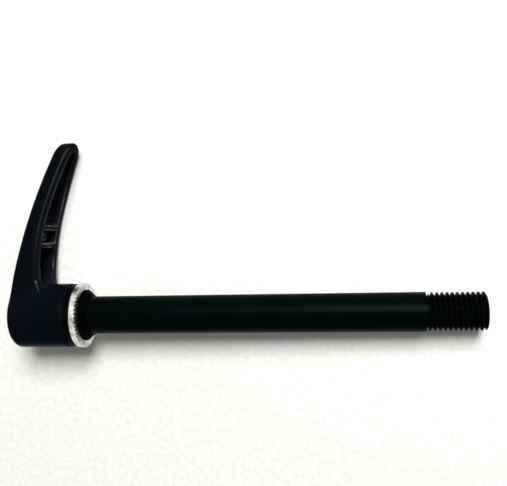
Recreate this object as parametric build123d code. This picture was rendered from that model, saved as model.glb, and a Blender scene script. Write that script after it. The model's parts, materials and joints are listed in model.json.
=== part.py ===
"""Bicycle thru axle, M12 x 1.5, with a ratcheting hand lever and a serrated clamping ring.

Every piece is first modelled about the axle's own axis: X runs along the axle to its
thread, with the clamping face at X = 0, Y runs towards the lever's tip and Z across the
lever. The finished pieces are then laid down together as the axle comes to rest on a table.
"""
import os
from math import asin, atan2, ceil, degrees, pi, radians, sin, sqrt, tan

from build123d import *

os.makedirs("parts", exist_ok=True)

# Shank and thread
shank_diameter = 12.0
clamp_to_tip = 125.0
thread_diameter = 11.76
thread_pitch = 1.5
thread_depth = 0.9
thread_flank_angle = 60.0
thread_root_width = 0.24
thread_zone = 17.7
thread_relief_length = 0.7
thread_relief_margin = 0.05
thread_lead_in = 0.71
lead_chamfer = 0.6
core_bore_diameter = 7.0
core_bore_bottom = 8.0
drill_point_angle = 118.0

# Seat cone that carries the clamping ring, pressed on a raised seat of the axle
cone_seat_diameter = 12.6
cone_large_diameter = 16.4
cone_length = 2.0
cone_land = 0.3
cone_front_edge = 0.1
ring_seat_diameter = 15.7

# Serrated clamping ring
ring_diameter = 20.7
ring_thickness = 2.1
ring_edge_chamfer = 0.3
ring_running_gap = 0.05
ring_end_gap = 0.05
serration_count = 48
serration_depth = 0.4
serration_land = 0.3

# Flange, splines and journal at the lever's end of the axle
flange_diameter = 20.2
flange_thickness = 1.7
spline_count = 24
spline_root_diameter = 12.9
spline_tip_diameter = 14.2
spline_tooth_share = 0.5
spline_tooth_taper = 0.72
spline_clearance = 0.08
journal_diameter = 9.0
journal_end_chamfer = 0.4

# Lever hub
hub_diameter = 20.5
hub_length = 19.05
hub_to_flange_gap = 0.2
hub_front_round = 0.9
insert_diameter = 17.2
insert_length = 4.2
insert_setback = 0.3
web_thickness = 2.0
web_running_gap = 0.06
rear_bore_diameter = 13.8
rear_bore_chamfer = 0.4

# Pull-out travel of the lever, and the gap that frees the splines at its end
lever_travel = 4.1
spline_release_gap = 0.3

# Lever arm
lever_reach = 55.9
arm_width = 16.5
arm_widest_height = 24.0
arm_tip_radius = 5.4
arm_neck_radius = 9.0
arm_root_depth = 9.7
back_bend_start = 4.5
back_bend_radius = 30.0
back_bend_turn = 16.0
back_long_radius = 400.0
inner_bend_start = 12.0
inner_bend_radius = 74.0
inner_bend_turn = 18.0
inner_long_radius = 200.0
root_flare_radius = 3.5
root_flare_sink = 0.05
back_edge_round = 2.0
rim_edge_round = 1.0

# Channel, ribs and square pocket in the arm's inner face
rim_wall = 3.1
back_wall = 2.5
lower_rib_at = 22.1
rib_thickness = 1.5
pocket_length = 4.2
ramp_angle = 25.0
channel_tip_wall = 3.0
channel_floor_round = 0.8
pocket_stub_diameter = 2.6
pocket_stub_height = 1.4

# Return spring, washer and screw inside the hub
spring_wire_diameter = 0.9
spring_outer_diameter = 12.3
spring_turns = 3.0
spring_end_gap = 0.03
washer_diameter = 13.2
washer_thickness = 1.0
screw_thread_diameter = 5.0
screw_length = 11.0
screw_hole_margin = 2.0
screw_clearance = 0.05
screw_head_diameter = 8.5
screw_head_height = 2.6
screw_head_chamfer = 0.4
screw_end_chamfer = 0.5
screw_head_recess = 1.1
socket_across_flats = 4.0
socket_depth = 1.8

# Stations along the axle, from the thread's tip to the lever's back
thread_start = clamp_to_tip - thread_zone
cone_base = cone_land + ring_end_gap
cone_front = cone_base + cone_length
flange_front = -ring_thickness - ring_end_gap
flange_back = flange_front - flange_thickness
hub_front = flange_back - hub_to_flange_gap
hub_rear = hub_front - hub_length
insert_front = hub_front - insert_setback
spline_end = insert_front - lever_travel + spline_release_gap
insert_back = insert_front - insert_length
web_back = insert_back - web_thickness
screw_head_top = hub_rear + screw_head_recess
washer_back = screw_head_top + screw_head_height
washer_front = washer_back + washer_thickness
arm_face = hub_rear + arm_root_depth
hub_radius = hub_diameter / 2
overrun = 3.0
facing_limit = 0.75


def turned(*outline):
    """Solid of revolution about the axle's axis, from (station, radius) points."""
    return revolve(make_face(Polyline(*outline, close=True)), Axis.X)


def rod(diameter, start, end):
    """Cylinder on the axle's axis between two stations."""
    length = end - start
    base = Pos(start, 0, 0) * Rot(0, 90, 0)
    return base * Cylinder(diameter / 2, length, align=(Align.CENTER, Align.CENTER, Align.MIN))


def along_axle(section, start, end):
    """Section drawn in the YZ plane, extruded between two stations."""
    return Pos(start, 0, 0) * extrude(Plane.YZ * section, end - start)


def spline_section(clearance=0.0):
    """Toothed cross-section of the splined boss, grown all round by a clearance."""
    root = spline_root_diameter / 2 + clearance
    tip = spline_tip_diameter / 2 + clearance
    tooth_foot = 2 * root - tip
    pitch_angle = 2 * pi / spline_count
    half_width = spline_root_diameter / 2 * pitch_angle * spline_tooth_share / 2 + clearance
    tooth = make_face(Polyline(
        (tooth_foot, -half_width),
        (tip, -half_width * spline_tooth_taper),
        (tip, half_width * spline_tooth_taper),
        (tooth_foot, half_width),
        close=True,
    ))
    teeth = [Rot(0, 0, 360 / spline_count * i) * tooth for i in range(spline_count)]
    return Circle(root) + teeth


def thread_groove():
    """Cutter for one right-handed turn of the thread's groove."""
    root = thread_diameter / 2 - thread_depth
    mouth = shank_diameter / 2
    root_half = thread_root_width / 2
    mouth_half = root_half + (mouth - root) * tan(radians(thread_flank_angle / 2))
    profile = Plane.XZ * make_face(Polyline(
        (root, -root_half),
        (mouth, -mouth_half),
        (mouth, mouth_half),
        (root, root_half),
        close=True,
    ))
    path = Helix(thread_pitch, thread_pitch, root)
    return Rot(0, 90, 0) * sweep(profile, path=path, is_frenet=True)


def make_threaded_end():
    """Threaded end of the axle: a short relief groove, then the helix out to the tip."""
    thread = thread_diameter / 2
    relief = thread - thread_depth - thread_relief_margin
    relief_end = thread_start + thread_relief_length
    end = turned(
        (thread_start, 0),
        (thread_start, relief),
        (relief_end, relief),
        (relief_end, thread),
        (clamp_to_tip - lead_chamfer, thread),
        (clamp_to_tip, thread - lead_chamfer),
        (clamp_to_tip, 0),
    )
    first_turn = thread_start - thread_lead_in
    turns = ceil((clamp_to_tip - first_turn) / thread_pitch + 0.5)
    groove = thread_groove()
    for turn in range(turns):
        end -= Pos(first_turn + turn * thread_pitch, 0, 0) * groove
    return end


def make_axle():
    """Shank, threaded end, cone seat, flange, splined boss and journal in one piece."""
    shank = shank_diameter / 2
    cone_seat = cone_seat_diameter / 2
    journal = journal_diameter / 2
    flange = flange_diameter / 2
    blank = turned(
        (washer_front, 0),
        (washer_front, journal - journal_end_chamfer),
        (washer_front + journal_end_chamfer, journal),
        (spline_end, journal),
        (flange_back, journal),
        (flange_back, flange),
        (flange_front, flange),
        (flange_front, cone_seat),
        (cone_front, cone_seat),
        (cone_front, shank),
        (thread_start, shank),
        (thread_start, 0),
    )
    boss = along_axle(spline_section(), spline_end, flange_back)
    core = core_bore_diameter / 2
    point_depth = core / tan(radians(drill_point_angle / 2))
    core_bore = turned(
        (core_bore_bottom - point_depth, 0),
        (core_bore_bottom, core),
        (clamp_to_tip, core),
        (clamp_to_tip, 0),
    )
    screw_hole = rod(
        screw_thread_diameter + 2 * screw_clearance,
        washer_front,
        washer_back + screw_length + screw_hole_margin,
    )
    return blank + boss + make_threaded_end() - core_bore - screw_hole


def make_seat_cone():
    """Cone sleeve pressed on its seat: it centres the dropout and keeps the ring on."""
    bore = cone_seat_diameter / 2
    seat = ring_seat_diameter / 2
    large = cone_large_diameter / 2
    return turned(
        (flange_front, bore),
        (flange_front, seat),
        (ring_end_gap, seat),
        (ring_end_gap, large),
        (cone_base, large),
        (cone_front, bore + cone_front_edge),
        (cone_front, bore),
    )


def make_serrated_ring():
    """Free-turning steel ring with radial serrations on its clamping face."""
    bore = ring_seat_diameter / 2 + ring_running_gap
    rim = ring_diameter / 2
    blank = turned(
        (-ring_thickness, bore),
        (-ring_thickness, rim - ring_edge_chamfer),
        (-ring_thickness + ring_edge_chamfer, rim),
        (-ring_edge_chamfer, rim),
        (0, rim - ring_edge_chamfer),
        (0, bore),
    )
    pitch = pi * (bore + rim) / serration_count
    half_width = (pitch - serration_land) / 2
    mouth = half_width * (1 + overrun / serration_depth)
    groove_face = make_face(Polyline(
        (overrun, -mouth),
        (overrun, mouth),
        (-serration_depth, 0),
        close=True,
    ))
    groove = Pos(0, 0, bore - overrun) * extrude(groove_face, rim - bore + 2 * overrun)
    grooves = [Rot(360 / serration_count * i, 0, 0) * groove for i in range(serration_count)]
    return blank - grooves


def arm_side_radius():
    """Radius of the arm's bowed sides, so that they run into the tip circle smoothly."""
    half_width = arm_width / 2
    rise = lever_reach - arm_tip_radius - arm_widest_height
    reach_squared = half_width ** 2 + rise ** 2 - arm_tip_radius ** 2
    return reach_squared / (2 * (half_width - arm_tip_radius))


def arm_outline(inset=0.0):
    """Front view of the arm in (Y, Z): two long bowed sides and a round tip."""
    side = arm_side_radius() - inset
    tip_centre = Vector(lever_reach - arm_tip_radius, 0)
    side_centre = Vector(arm_widest_height, arm_width / 2 - arm_side_radius())
    tip_point = side_centre + (tip_centre - side_centre).normalized() * side
    foot_drop = side - sqrt(side ** 2 - arm_widest_height ** 2)
    foot = Vector(0, arm_width / 2 - inset - foot_drop)
    middle_direction = (foot + tip_point) / 2 - side_centre
    middle = side_centre + middle_direction.normalized() * side
    return make_face(Curve() + [
        ThreePointArc(foot, middle, tip_point),
        ThreePointArc(tip_point, Vector(lever_reach - inset, 0), mirrored(tip_point)),
        ThreePointArc(mirrored(tip_point), mirrored(middle), mirrored(foot)),
        Line(mirrored(foot), foot),
    ])


def mirrored(point):
    """Point of the front view on the lever's other side."""
    return Vector(point.X, -point.Y)


def lever_outline():
    """Front view of hub and arm, blended with a neck where the arm leaves the hub."""
    whole = Circle(hub_radius) + arm_outline()
    corners = [
        vertex for vertex in whole.vertices()
        if 0 < vertex.X < hub_radius and abs(Vector(vertex).length - hub_radius) < 0.01
    ]
    return fillet(corners, arm_neck_radius)


def lever_curve(station, start, bend_radius, bend_turn, long_radius):
    """Side-view curve up the lever: straight to start, a bend, then a long arc past the tip."""
    bend_sine = sin(radians(bend_turn))
    rise = lever_reach + overrun - start - bend_radius * bend_sine
    long_turn = degrees(asin(bend_sine + rise / long_radius)) - bend_turn
    straight = Line((station, -hub_radius - overrun), (station, start))
    bend = JernArc(straight @ 1, straight % 1, bend_radius, -bend_turn)
    long_arc = JernArc(bend @ 1, bend % 1, long_radius, -long_turn)
    return [straight, bend, long_arc]


def back_curve(depth=0.0):
    """Lever's back in side view, or the parallel curve at a depth inside it."""
    return lever_curve(
        hub_rear + depth,
        back_bend_start,
        back_bend_radius - depth,
        back_bend_turn,
        back_long_radius - depth,
    )


def inner_curve():
    """Arm's inner face in side view."""
    return lever_curve(
        arm_face,
        inner_bend_start,
        inner_bend_radius,
        inner_bend_turn,
        inner_long_radius,
    )


def across_lever(curves):
    """Slab across the lever over a closed side view."""
    return extrude(make_face(Curve() + curves), amount=hub_radius + overrun, both=True)


def outer_edges(solid, facing):
    """Outline of the faces that look along the axle one way: -1 is back, 1 is forward."""
    faces = [face for face in solid.faces() if face.normal_at().X * facing > facing_limit]
    edges = [edge for face in faces for edge in face.edges()]
    return [edge for edge in edges if sum(edge.is_same(other) for other in edges) == 1]


def make_arm():
    """Rear of the hub and the curved arm, rounded along the back and along the rim."""
    prism = along_axle(lever_outline(), hub_rear - overrun, hub_front + lever_reach)
    back = back_curve()
    inner = inner_curve()
    sides = [Line(back[0] @ 0, inner[0] @ 0), Line(back[-1] @ 1, inner[-1] @ 1)]
    arm = prism & across_lever(back + inner + sides)
    arm = fillet(outer_edges(arm, -1), back_edge_round)
    rim_edges = [edge for edge in outer_edges(arm, 1) if edge.center().Y > 0]
    arm = fillet(rim_edges, rim_edge_round)
    overlap = 2 * rim_edge_round
    flare_foot = hub_radius - root_flare_sink
    flare_top = flare_foot + root_flare_radius
    flare_front = arm_face + root_flare_radius
    flare_section = make_face(Curve() + [
        Polyline(
            (arm_face, flare_top),
            (arm_face - overlap, flare_top),
            (arm_face - overlap, hub_radius - overlap),
            (flare_front, hub_radius - overlap),
            (flare_front, flare_foot),
        ),
        RadiusArc((arm_face, flare_top), (flare_front, flare_foot), -root_flare_radius),
    ])
    root_flare = revolve(flare_section, Axis.X) & prism
    front_hub = rod(hub_diameter, arm_face - overlap, hub_front)
    front_hub = fillet(front_hub.edges().group_by(Axis.X)[-1], hub_front_round)
    return arm + front_hub + root_flare


def station_at(curve, height):
    """Station where a side-view curve crosses a height."""
    level = Line((hub_rear - lever_reach, height), (hub_front + lever_reach, height))
    return Wire(curve).closest_points(level)[0].X


def channel_tool(bottom, top, ramp=0.0):
    """One compartment of the channel, rounded along its floor; a ramp may lean its lower end."""
    prism = along_axle(arm_outline(rim_wall), hub_rear, hub_front + lever_reach)
    floor = back_curve(back_wall)
    inner = inner_curve()
    front = (inner[-1] @ 1).X + overrun
    low = floor[0] @ 0
    high = floor[-1] @ 1
    ahead = across_lever(floor + [Polyline(low, (front, low.Y), (front, high.Y), high)])
    rim_station = station_at(inner, bottom)
    slope = tan(radians(ramp))
    band = across_lever([Polyline(
        (hub_rear, bottom + (rim_station - hub_rear) * slope),
        (front, bottom - (front - rim_station) * slope),
        (front, top),
        (hub_rear, top),
        close=True,
    )])
    tool = prism & ahead & band
    return fillet(outer_edges(tool, -1), channel_floor_round)


def make_lever():
    """Cast lever: hub, curved arm, ribbed channel and the stepped bore through the hub."""
    pocket_bottom = lower_rib_at + rib_thickness
    pocket_top = pocket_bottom + pocket_length
    upper_rib_top = pocket_top + rib_thickness
    lever = make_arm()
    lever -= channel_tool(0, lower_rib_at) - rod(hub_diameter, hub_rear, flange_back)
    lever -= channel_tool(pocket_bottom, pocket_top)
    lever -= channel_tool(upper_rib_top, lever_reach - channel_tip_wall, ramp_angle)
    stub_height = (pocket_bottom + pocket_top) / 2
    floor_station = station_at(back_curve(back_wall), stub_height)
    stub = Pos(0, stub_height, 0) * rod(
        pocket_stub_diameter,
        floor_station - back_wall / 2,
        floor_station + pocket_stub_height,
    )
    insert_bore = rod(insert_diameter, insert_back, hub_front + overrun)
    web_bore = rod(journal_diameter + 2 * web_running_gap, hub_rear, hub_front)
    rear = rear_bore_diameter / 2
    rear_bore = turned(
        (web_back, 0),
        (web_back, rear),
        (hub_rear + rear_bore_chamfer, rear),
        (hub_rear - overrun, rear + rear_bore_chamfer + overrun),
        (hub_rear - overrun, 0),
    )
    return lever + stub - insert_bore - web_bore - rear_bore


def make_drive_insert():
    """Steel insert pressed in the hub: its inner splines turn the axle."""
    blank = rod(insert_diameter, insert_back, insert_front)
    return blank - along_axle(spline_section(spline_clearance), insert_back, insert_front)


def make_thrust_washer():
    """Washer on the journal's end that the return spring pushes against."""
    blank = rod(washer_diameter, washer_back, washer_front)
    return blank - rod(screw_thread_diameter + 2 * screw_clearance, washer_back, washer_front)


def make_retaining_screw():
    """Socket-head screw that holds the washer and so keeps the lever on the axle."""
    head = screw_head_diameter / 2
    thread = screw_thread_diameter / 2
    screw = turned(
        (screw_head_top, 0),
        (screw_head_top, head - screw_head_chamfer),
        (screw_head_top + screw_head_chamfer, head),
        (washer_back, head),
        (washer_back, thread),
        (washer_back + screw_length - screw_end_chamfer, thread),
        (washer_back + screw_length, thread - screw_end_chamfer),
        (washer_back + screw_length, 0),
    )
    socket = RegularPolygon(socket_across_flats / 2, 6, major_radius=False)
    return screw - along_axle(socket, screw_head_top, screw_head_top + socket_depth)


def make_return_spring():
    """Round-wire compression spring between the hub's web and the thrust washer."""
    wire = spring_wire_diameter / 2
    mean_radius = spring_outer_diameter / 2 - wire
    coil_length = web_back - washer_front - 2 * (wire + spring_end_gap)
    path = Helix(coil_length / spring_turns, coil_length, mean_radius)
    section = Plane(origin=path @ 0, z_dir=path % 0) * Circle(wire)
    coil = sweep(section, path=path, is_frenet=True)
    return Pos(washer_front + wire + spring_end_gap, 0, 0) * Rot(0, 90, 0) * coil


def rest_placement():
    """Location that lays the parts on a table: ring, thread end and lever tip touch it."""
    ring_rim = ring_diameter / 2
    thread_rim = thread_diameter / 2
    rim_station = -ring_edge_chamfer
    run = clamp_to_tip - lead_chamfer - rim_station
    pitch = atan2(ring_rim - thread_rim, run)
    tip_station = (back_curve()[-1] @ 1 + inner_curve()[-1] @ 1).X / 2
    axis_height = ring_rim + (rim_station - tip_station) * tan(pitch)
    roll = asin((axis_height - arm_tip_radius) / (lever_reach - arm_tip_radius))
    return Rot(0, degrees(pitch), 0) * Rot(-degrees(roll), 0, 0)


parts = {
    "axle": make_axle(),
    "seat_cone": make_seat_cone(),
    "serrated_ring": make_serrated_ring(),
    "lever": make_lever(),
    "drive_insert": make_drive_insert(),
    "return_spring": make_return_spring(),
    "thrust_washer": make_thrust_washer(),
    "retaining_screw": make_retaining_screw(),
}

tilt = rest_placement()
laid = Compound([tilt * piece for piece in parts.values()]).bounding_box()
base = Pos(-laid.center().X, -laid.center().Y, -laid.min.Z)
for name, piece in parts.items():
    export_step(base * tilt * piece, f"parts/{name}.step")
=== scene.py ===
"""Glossy black bicycle thru axle with a curved hand lever, lying on a white table."""
import json
import math

import bmesh
import bpy
from mathutils import Matrix, Vector


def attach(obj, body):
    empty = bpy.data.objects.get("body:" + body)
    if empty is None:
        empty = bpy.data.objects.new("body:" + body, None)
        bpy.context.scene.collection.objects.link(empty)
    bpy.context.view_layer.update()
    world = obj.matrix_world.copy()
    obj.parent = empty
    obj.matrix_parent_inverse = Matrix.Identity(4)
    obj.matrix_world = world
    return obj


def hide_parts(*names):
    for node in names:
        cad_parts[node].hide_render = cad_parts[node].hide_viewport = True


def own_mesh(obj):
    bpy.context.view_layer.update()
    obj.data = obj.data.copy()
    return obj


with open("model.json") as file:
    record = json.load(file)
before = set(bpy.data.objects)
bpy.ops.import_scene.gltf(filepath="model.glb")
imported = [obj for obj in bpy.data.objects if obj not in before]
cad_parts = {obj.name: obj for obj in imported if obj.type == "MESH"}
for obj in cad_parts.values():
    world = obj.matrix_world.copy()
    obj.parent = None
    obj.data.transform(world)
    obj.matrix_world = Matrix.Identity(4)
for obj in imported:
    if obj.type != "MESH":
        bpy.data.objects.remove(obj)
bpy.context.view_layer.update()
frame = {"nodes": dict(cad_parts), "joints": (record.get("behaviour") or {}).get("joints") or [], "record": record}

# Points and lengths below are in mm about the axle's own axis unless metres are named:
# x runs to the thread from the clamping face, y to the lever's tip and z up from the table
MM = 0.001

# Camera, solved from the photograph, with its turns in degrees and its clipping in metres
CAMERA_PLACE = (88.62, 22.0, 216.41)
CAMERA_TURN = 8.742
CAMERA_ROLL = -1.4255
CAMERA_CLIP = (0.01, 20.0)
FOCAL_PIXELS = 700.42
IMAGE_WIDTH = 507
SENSOR = 36.0

# Soft edges of the black coats
EDGE_RADIUS = 0.3
LEVER_EDGE_RADIUS = 1.2
EDGE_SAMPLES = 6

# Noises of the black coats: features per metre, detail and roughness
COAT_CLOUD = (90.0, 3.0, 0.55)
COAT_SMEAR = (260.0, 5.0, 0.6)
COAT_PEEL = (2200.0, 2.0, 0.5)
TURNED_PEEL = (2600.0, 2.0, 0.5)

# Black coats: span of the cloud from dark to light, and strength and height in metres of the peel
COAT_STOPS = (0.3, 0.7)
PEEL_STRENGTH = 0.06
PEEL_HEIGHT = 0.00002

# Coat of the turned shank, with its noises drawn out along the axle
TURNED_STRENGTH = 0.08
TURNED_STRETCH = (0.05, 1, 1)

# Channel of the lever: painted light, a lighter colour mixed in where the surface lies enclosed between the walls
RECESS_REACH = 8.0
RECESS_SAMPLES = 8
RECESS_OPENNESS = (0.45, 0.95)
RECESS_PAINTED_LIGHT_COLOUR = (0.012, 0.014, 0.02)

# Sharp edges of the lever, lighter in patches, partly as wear and partly as a painted highlight: spans of edge
# cosine, of noise and of height
EDGE_WEAR_AND_HIGHLIGHT_REACH = 1.1
EDGE_WEAR_AND_HIGHLIGHT_COSINES = (0.78, 0.97)
EDGE_WEAR_AND_HIGHLIGHT_NOISE = (120.0, 3.0, 0.6)
EDGE_WEAR_AND_HIGHLIGHT_PATCHES = (0.46, 0.66)
EDGE_WEAR_AND_HIGHLIGHT_HEIGHTS = (8, 15)
EDGE_WEAR_AND_HIGHLIGHT_COLOUR = (0.34, 0.35, 0.37)

# Rounded edge of the arm's near rim: a painted highlight along a line that fades towards the hub
ROUND_FACING = (0.6, 0.1, 0.8)
ROUND_COSINES = (0.93, 0.985)
ROUND_HEIGHTS = (14, 44)
ROUND_HIGHLIGHT_COLOUR = (0.03, 0.034, 0.04)

# Noises of the steel: features per metre, detail and roughness
STEEL_CLOUD = (420.0, 5.0, 0.65)
STEEL_SMEAR = (900.0, 4.0, 0.6)
TOOL_MARKS = (2600.0, 3.0, 0.6)

# Steel: span of the cloud from dark to light, and strength and height in metres of the tool marks
STEEL_STOPS = (0.32, 0.66)
TOOL_MARK_STRENGTH = 0.15
RING_MARK_STRENGTH = 0.45
TOOL_MARK_HEIGHT = 0.00003

# Table, in metres: its glow towards the camera rises with the distance from the object
TABLE_HALF_WIDTH = 2.5
TABLE_DROP = 0.0002
TABLE_NOISE = (520.0, 5.0, 0.75)
TABLE_STOPS = (0.38, 0.62)
TABLE_TONES = ((0.87, 0.865, 0.82), (0.97, 0.97, 0.94))
TABLE_ROUGHNESS = 0.9
TABLE_SHINE = 0.05
TABLE_GLOW = (0.06, 1.0)
TABLE_GLOW_SPAN = (0.2, 1.2)
TABLE_GLOW_COLOUR = (1.0, 1.0, 1.0, 1.0)

# Surroundings: weak as light on the table, white where they are seen or reflected
WORLD_COLOUR = (1.0, 0.998, 0.97)
WORLD_LIGHT = 0.12
WORLD_SEEN = 1.0

# Softbox above the table, with its size in metres and its power in watts
LAMP_PLACE = (230, 540, 1010)
LAMP_TARGET = (60, 10, 0)
LAMP_SIZE = (0.46, 0.5)
LAMP_POWER = 16.8
LAMP_COLOUR = (0.98, 0.99, 1.0)


def rest_frame():
    """Matrix from the axle's own axes (in metres) to the row frame."""
    spin = next(joint for joint in frame["joints"] if joint["name"] == "ring_spin")
    grip = next(mount for mount in frame["record"]["mounts"] if mount["name"] == "lever_grip")
    origin = Vector(spin["pos_m"])
    along = Vector(spin["axis"]).normalized()
    to_grip = Vector(grip["pos_m"]) - origin
    lever_way = (to_grip - along * to_grip.dot(along)).normalized()
    across = along.cross(lever_way)
    turn = Matrix((along, lever_way, across)).transposed().to_4x4()
    return Matrix.Translation(origin) @ turn


REST = rest_frame()


def place(x, y, z):
    """Point in mm about the axle's axis, in the row frame."""
    return REST @ Vector((x * MM, y * MM, z * MM))


def direction(x, y, z):
    """Direction given in the axle's own axes, in the row frame."""
    return (REST.to_3x3() @ Vector((x, y, z))).normalized()


def show(name, data):
    """New object with this name and data, linked into the scene."""
    item = bpy.data.objects.new(name, data)
    bpy.context.scene.collection.objects.link(item)
    return item


def make_camera():
    """Camera with the place, the turn and the lens that were solved from the photograph."""
    data = bpy.data.cameras.new("camera")
    data.sensor_width = SENSOR
    data.lens = FOCAL_PIXELS * SENSOR / IMAGE_WIDTH
    data.clip_start, data.clip_end = CAMERA_CLIP
    camera = show("camera", data)
    turn = math.radians(CAMERA_TURN)
    roll = math.radians(CAMERA_ROLL)
    right = Vector((math.cos(turn), 0, -math.sin(turn)))
    up = Vector((0, 1, 0))
    back = Vector((math.sin(turn), 0, math.cos(turn)))
    rolled_right = right * math.cos(roll) + up * math.sin(roll)
    rolled_up = up * math.cos(roll) - right * math.sin(roll)
    basis = Matrix((rolled_right, rolled_up, back)).transposed().to_4x4()
    camera.matrix_world = REST @ Matrix.Translation(Vector(CAMERA_PLACE) * MM) @ basis
    bpy.context.scene.camera = camera


# Nodes that the materials share


def new_material(name):
    """New material, with its node tree and its shader."""
    material = bpy.data.materials.new(name)
    material.use_nodes = True
    return material, material.node_tree, material.node_tree.nodes["Principled BSDF"]


def noise(tree, scale, detail, roughness, stretch=None):
    """Noise over object coordinates, with its scale in features per metre."""
    position = tree.nodes.new("ShaderNodeTexCoord").outputs["Object"]
    if stretch:
        mapping = tree.nodes.new("ShaderNodeMapping")
        mapping.inputs["Scale"].default_value = stretch
        tree.links.new(position, mapping.inputs["Vector"])
        position = mapping.outputs["Vector"]
    texture = tree.nodes.new("ShaderNodeTexNoise")
    texture.inputs["Scale"].default_value = scale
    texture.inputs["Detail"].default_value = detail
    texture.inputs["Roughness"].default_value = roughness
    tree.links.new(position, texture.inputs["Vector"])
    return texture.outputs["Fac"]


def two_tones(tree, factor, stops, tones):
    """Colour that goes from one tone to another between two stops of a factor."""
    ramp = tree.nodes.new("ShaderNodeValToRGB")
    for element, stop, tone in zip(ramp.color_ramp.elements, stops, tones):
        element.position = stop
        element.color = (*tone, 1.0)
    tree.links.new(factor, ramp.inputs["Fac"])
    return ramp.outputs["Color"]


def spread(tree, value, low, high, span=(0.0, 1.0)):
    """Value mapped from a span, beyond which it stays level, to the range from low to high."""
    node = tree.nodes.new("ShaderNodeMapRange")
    node.inputs["From Min"].default_value = span[0]
    node.inputs["From Max"].default_value = span[1]
    node.inputs["To Min"].default_value = low
    node.inputs["To Max"].default_value = high
    tree.links.new(value, node.inputs["Value"])
    return node.outputs["Result"]


def combine(tree, operation, first, second):
    """Result of a maths operation on two factors."""
    node = tree.nodes.new("ShaderNodeMath")
    node.operation = operation
    tree.links.new(first, node.inputs[0])
    tree.links.new(second, node.inputs[1])
    return node.outputs["Value"]


def along(tree, vector, way):
    """How far a vector reaches along a fixed direction."""
    node = tree.nodes.new("ShaderNodeVectorMath")
    node.operation = "DOT_PRODUCT"
    node.inputs[1].default_value = way
    tree.links.new(vector, node.inputs[0])
    return node.outputs["Value"]


def mix_in(tree, share, colour, other):
    """Colour that goes over to another, fixed colour with a share from 0 to 1."""
    node = tree.nodes.new("ShaderNodeMix")
    node.data_type = "RGBA"
    ports = {port.identifier: port for port in [*node.inputs, *node.outputs]}
    tree.links.new(share, node.inputs["Factor"])
    tree.links.new(colour, ports["A_Color"])
    ports["B_Color"].default_value = (*other, 1.0)
    return ports["Result_Color"]


def soft_normal(tree, radius):
    """Surface normal with sharp edges rounded to a radius in mm."""
    node = tree.nodes.new("ShaderNodeBevel")
    node.samples = EDGE_SAMPLES
    node.inputs["Radius"].default_value = radius * MM
    return node.outputs["Normal"]


def roughen(tree, shader, height, strength, distance, normal=None):
    """Bump on the shader's surface, over the given normal or the surface's own."""
    node = tree.nodes.new("ShaderNodeBump")
    node.inputs["Strength"].default_value = strength
    node.inputs["Distance"].default_value = distance
    tree.links.new(height, node.inputs["Height"])
    if normal:
        tree.links.new(normal, node.inputs["Normal"])
    tree.links.new(node.outputs["Normal"], shader.inputs["Normal"])


# Painted light, painted highlights and wear on the lever's coat


def lever_height(tree, heights):
    """Share that rises from 0 to 1 between two heights of the lever above the axle's axis."""
    way = direction(0, 1, 0)
    position = tree.nodes.new("ShaderNodeTexCoord").outputs["Object"]
    axis = way.dot(place(0, 0, 0))
    span = [axis + height * MM for height in heights]
    return spread(tree, along(tree, position, way), 0.0, 1.0, span)


def paint_light_in_recesses(tree, colour):
    """Mixes a lighter colour in where the surface lies deep between walls: painted light in the recesses."""
    node = tree.nodes.new("ShaderNodeAmbientOcclusion")
    node.samples = RECESS_SAMPLES
    node.only_local = True
    node.inputs["Distance"].default_value = RECESS_REACH * MM
    share = spread(tree, node.outputs["AO"], 1.0, 0.0, RECESS_OPENNESS)
    return mix_in(tree, share, colour, RECESS_PAINTED_LIGHT_COLOUR)


def paint_edge_wear_and_highlights(tree, colour):
    """Mixes a lighter colour in, in patches, along sharp edges: partly wear of the coat, partly a painted
    highlight.
    """
    agreement = tree.nodes.new("ShaderNodeVectorMath")
    agreement.operation = "DOT_PRODUCT"
    surface = tree.nodes.new("ShaderNodeNewGeometry")
    tree.links.new(surface.outputs["Normal"], agreement.inputs[0])
    tree.links.new(soft_normal(tree, EDGE_WEAR_AND_HIGHLIGHT_REACH), agreement.inputs[1])
    sharp = spread(tree, agreement.outputs["Value"], 1.0, 0.0, EDGE_WEAR_AND_HIGHLIGHT_COSINES)
    patches = spread(tree, noise(tree, *EDGE_WEAR_AND_HIGHLIGHT_NOISE), 0.0, 1.0, EDGE_WEAR_AND_HIGHLIGHT_PATCHES)
    wear_and_painted_light = combine(tree, "MULTIPLY", sharp, patches)
    share = combine(tree, "MULTIPLY", wear_and_painted_light, lever_height(tree, EDGE_WEAR_AND_HIGHLIGHT_HEIGHTS))
    return mix_in(tree, share, colour, EDGE_WEAR_AND_HIGHLIGHT_COLOUR)


def paint_near_round_highlight(tree, colour):
    """Mixes a lighter colour in along the rounded edge of the arm's near rim where it faces one fixed way: a
    painted highlight.
    """
    normal = tree.nodes.new("ShaderNodeTexCoord").outputs["Normal"]
    facing = along(tree, normal, direction(*ROUND_FACING))
    stripe = spread(tree, facing, 0.0, 1.0, ROUND_COSINES)
    share = combine(tree, "MULTIPLY", stripe, lever_height(tree, ROUND_HEIGHTS))
    return mix_in(tree, share, colour, ROUND_HIGHLIGHT_COLOUR)


# Finishes


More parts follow.
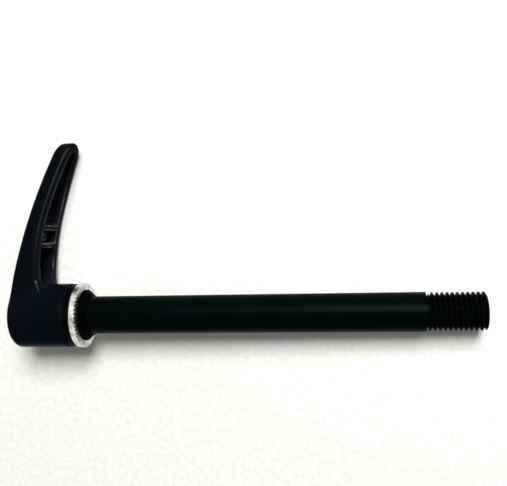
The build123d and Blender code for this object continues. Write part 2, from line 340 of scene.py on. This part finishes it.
def black_finish(
    name,
    tones,
    gloss,
    shine,
    peel=COAT_PEEL,
    peel_strength=PEEL_STRENGTH,
    stretch=None,
    edge_radius=EDGE_RADIUS,
    wear_and_painted_light=False,
):
    """Black coat with faint colour and gloss variation and a fine orange peel."""
    material, tree, shader = new_material(name)
    colour = two_tones(tree, noise(tree, *COAT_CLOUD), COAT_STOPS, tones)
    # On the lever: painted light in the channel, sharp edges partly worn and partly painted as highlights, and a
    # painted highlight along the near rim's round
    if wear_and_painted_light:
        colour = paint_light_in_recesses(tree, colour)
        colour = paint_edge_wear_and_highlights(tree, colour)
        colour = paint_near_round_highlight(tree, colour)
    tree.links.new(colour, shader.inputs["Base Color"])
    rough = spread(tree, noise(tree, *COAT_SMEAR, stretch), *gloss)
    tree.links.new(rough, shader.inputs["Roughness"])
    shader.inputs["Specular IOR Level"].default_value = shine
    height = noise(tree, *peel, stretch)
    roughen(tree, shader, height, peel_strength, PEEL_HEIGHT, soft_normal(tree, edge_radius))
    return material


def steel_finish(name, tones, gloss, mark_strength=TOOL_MARK_STRENGTH):
    """Bright metal with small tone changes and fine tool marks."""
    material, tree, shader = new_material(name)
    colour = two_tones(tree, noise(tree, *STEEL_CLOUD), STEEL_STOPS, tones)
    tree.links.new(colour, shader.inputs["Base Color"])
    shader.inputs["Metallic"].default_value = 1.0
    rough = spread(tree, noise(tree, *STEEL_SMEAR), *gloss)
    tree.links.new(rough, shader.inputs["Roughness"])
    roughen(tree, shader, noise(tree, *TOOL_MARKS), mark_strength, TOOL_MARK_HEIGHT)
    return material


def make_finishes():
    """Material of each CAD node, by the node's name."""
    return {
        "lever": black_finish(
            "lever_black",
            tones=((0.0018, 0.0029, 0.0044), (0.0026, 0.0041, 0.0061)),
            gloss=(0.17, 0.26),
            shine=0.006,
            edge_radius=LEVER_EDGE_RADIUS,
            # The lever's coat gets painted light in its channel and painted highlights on its edges, along with
            # wear
            wear_and_painted_light=True,
        ),
        "axle": black_finish(
            "axle_black",
            tones=((0.0006, 0.0012, 0.0014), (0.001, 0.0018, 0.0022)),
            gloss=(0.28, 0.38),
            shine=0.012,
            peel=TURNED_PEEL,
            peel_strength=TURNED_STRENGTH,
            stretch=TURNED_STRETCH,
        ),
        "seat_cone": black_finish(
            "cone_black",
            tones=((0.0002, 0.0007, 0.0002), (0.0004, 0.0012, 0.0004)),
            gloss=(0.3, 0.4),
            shine=0.004,
        ),
        "serrated_ring": steel_finish(
            "ring_steel",
            tones=((0.32, 0.32, 0.29), (0.92, 0.92, 0.87)),
            gloss=(0.24, 0.4),
            mark_strength=RING_MARK_STRENGTH,
        ),
        "drive_insert": steel_finish(
            "insert_steel",
            tones=((0.3, 0.3, 0.31), (0.42, 0.42, 0.43)),
            gloss=(0.3, 0.45),
        ),
        "return_spring": steel_finish(
            "spring_steel",
            tones=((0.38, 0.38, 0.38), (0.55, 0.55, 0.54)),
            gloss=(0.25, 0.35),
        ),
        "thrust_washer": steel_finish(
            "washer_steel",
            tones=((0.5, 0.5, 0.5), (0.66, 0.66, 0.64)),
            gloss=(0.25, 0.4),
        ),
        "retaining_screw": steel_finish(
            "screw_steel",
            tones=((0.03, 0.03, 0.032), (0.05, 0.05, 0.053)),
            gloss=(0.3, 0.45),
        ),
    }


def dress(item, material):
    """Gives an object this one material."""
    item.data.materials.clear()
    item.data.materials.append(material)


# Pieces of the scene


def make_spring(material):
    """Copy of the return spring with its own mesh, carried with the axle body in place of the CAD spring, which is
    hidden.
    """
    spring = show("coil_spring", frame["nodes"]["return_spring"].data.copy())
    dress(spring, material)
    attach(spring, "axle_body")
    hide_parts("return_spring")
    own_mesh(spring)


def table_finish():
    """White that shows as near pure white to the camera and keeps the shadow."""
    material, tree, shader = new_material("table_white")
    tint = two_tones(tree, noise(tree, *TABLE_NOISE), TABLE_STOPS, TABLE_TONES)
    tree.links.new(tint, shader.inputs["Base Color"])
    shader.inputs["Roughness"].default_value = TABLE_ROUGHNESS
    shader.inputs["Specular IOR Level"].default_value = TABLE_SHINE
    shader.inputs["Emission Color"].default_value = TABLE_GLOW_COLOUR
    distance = tree.nodes.new("ShaderNodeVectorMath")
    distance.operation = "LENGTH"
    position = tree.nodes.new("ShaderNodeTexCoord").outputs["Object"]
    tree.links.new(position, distance.inputs[0])
    fade = spread(tree, distance.outputs["Value"], *TABLE_GLOW, TABLE_GLOW_SPAN)
    seen = tree.nodes.new("ShaderNodeLightPath").outputs["Is Camera Ray"]
    glow = combine(tree, "MULTIPLY", seen, fade)
    tree.links.new(glow, shader.inputs["Emission Strength"])
    return material


def make_table():
    """Wide flat table just under the object."""
    mesh = bmesh.new()
    bmesh.ops.create_grid(mesh, x_segments=1, y_segments=1, size=TABLE_HALF_WIDTH)
    data = bpy.data.meshes.new("table")
    mesh.to_mesh(data)
    mesh.free()
    table = show("table", data)
    table.location = (0, 0, -TABLE_DROP)
    dress(table, table_finish())


def make_world():
    """Even, slightly warm light from all round."""
    world = bpy.data.worlds.new("studio")
    bpy.context.scene.world = world
    world.use_nodes = True
    tree = world.node_tree
    background = tree.nodes["Background"]
    background.inputs["Color"].default_value = (*WORLD_COLOUR, 1.0)
    rays = tree.nodes.new("ShaderNodeLightPath").outputs
    seen = combine(tree, "MAXIMUM", rays["Is Camera Ray"], rays["Is Glossy Ray"])
    seen = combine(tree, "MAXIMUM", seen, rays["Is Transmission Ray"])
    strength = spread(tree, seen, WORLD_LIGHT, WORLD_SEEN)
    tree.links.new(strength, background.inputs["Strength"])


def make_lamp():
    """Rectangular softbox, turned to a point near the middle of the axle."""
    data = bpy.data.lights.new("top_box", "AREA")
    data.shape = "RECTANGLE"
    data.size, data.size_y = LAMP_SIZE
    data.energy = LAMP_POWER
    data.color = LAMP_COLOUR
    lamp = show("top_box", data)
    lamp.location = place(*LAMP_PLACE)
    away = (place(*LAMP_PLACE) - place(*LAMP_TARGET)).normalized()
    lamp.rotation_mode = "QUATERNION"
    lamp.rotation_quaternion = away.to_track_quat("Z", "Y")


make_camera()
finishes = make_finishes()
for node_name, finish in finishes.items():
    dress(frame["nodes"][node_name], finish)
make_spring(finishes["return_spring"])
make_table()
make_world()
make_lamp()

bpy.context.scene.view_settings.view_transform = "Standard"
